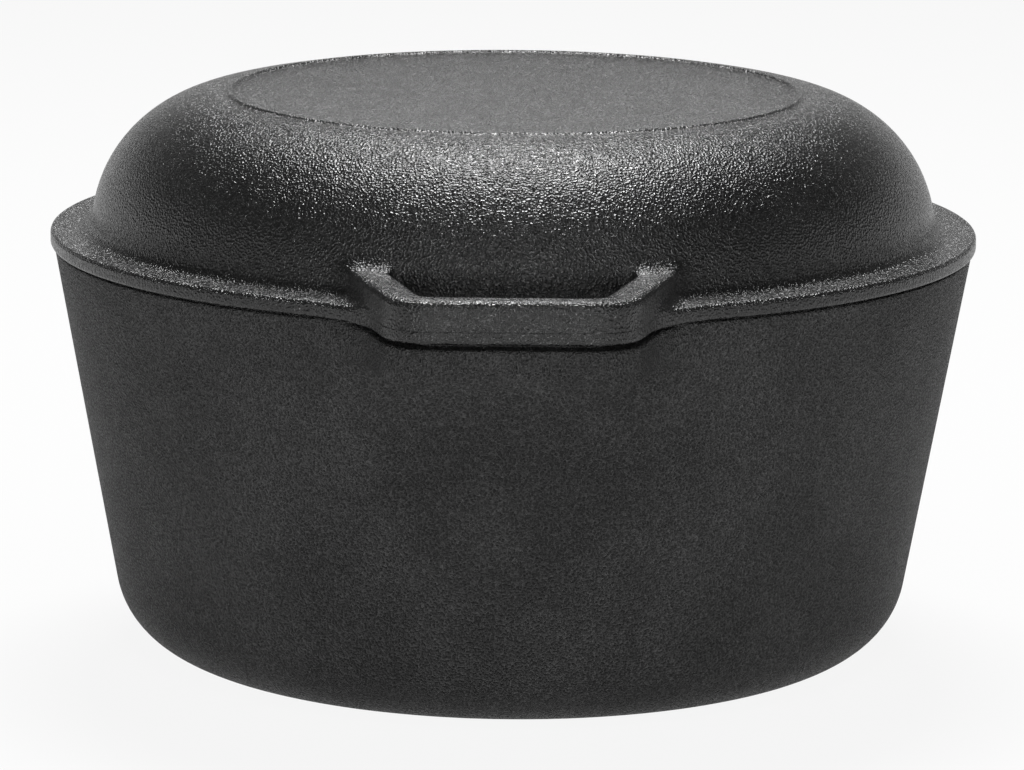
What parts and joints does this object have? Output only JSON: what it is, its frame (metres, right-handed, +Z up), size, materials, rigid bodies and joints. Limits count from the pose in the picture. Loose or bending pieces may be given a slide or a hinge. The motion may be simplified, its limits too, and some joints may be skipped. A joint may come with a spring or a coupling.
{
  "type": "cast iron pot",
  "caption": "Deep round cast iron pot with loop handles and an upturned skillet, with matching loop handles, as its lid.",
  "frame": {"origin": "centre of the pot's flat base, on the surface that it stands on", "axes": "+Z up along the pot's axis, the two pairs of loop handles towards -Y and +Y"},
  "size_m": [0.2752, 0.3324, 0.1669],
  "materials": {
    "seasoned_iron_pot": "seasoned black, fine sand-cast grain",
    "seasoned_iron_lid": "seasoned black, coarser sand-cast grain"
  },
  "bodies": {
    "pot": {"pot": "seasoned_iron_pot"},
    "lid": {"skillet_lid": "seasoned_iron_lid"}
  },
  "joints": [
    {"name": "lid_lift", "type": "slide", "parent": "pot", "child": "lid", "axis": [0, 0, 1], "range_m": [0, 0.12]}
  ]
}
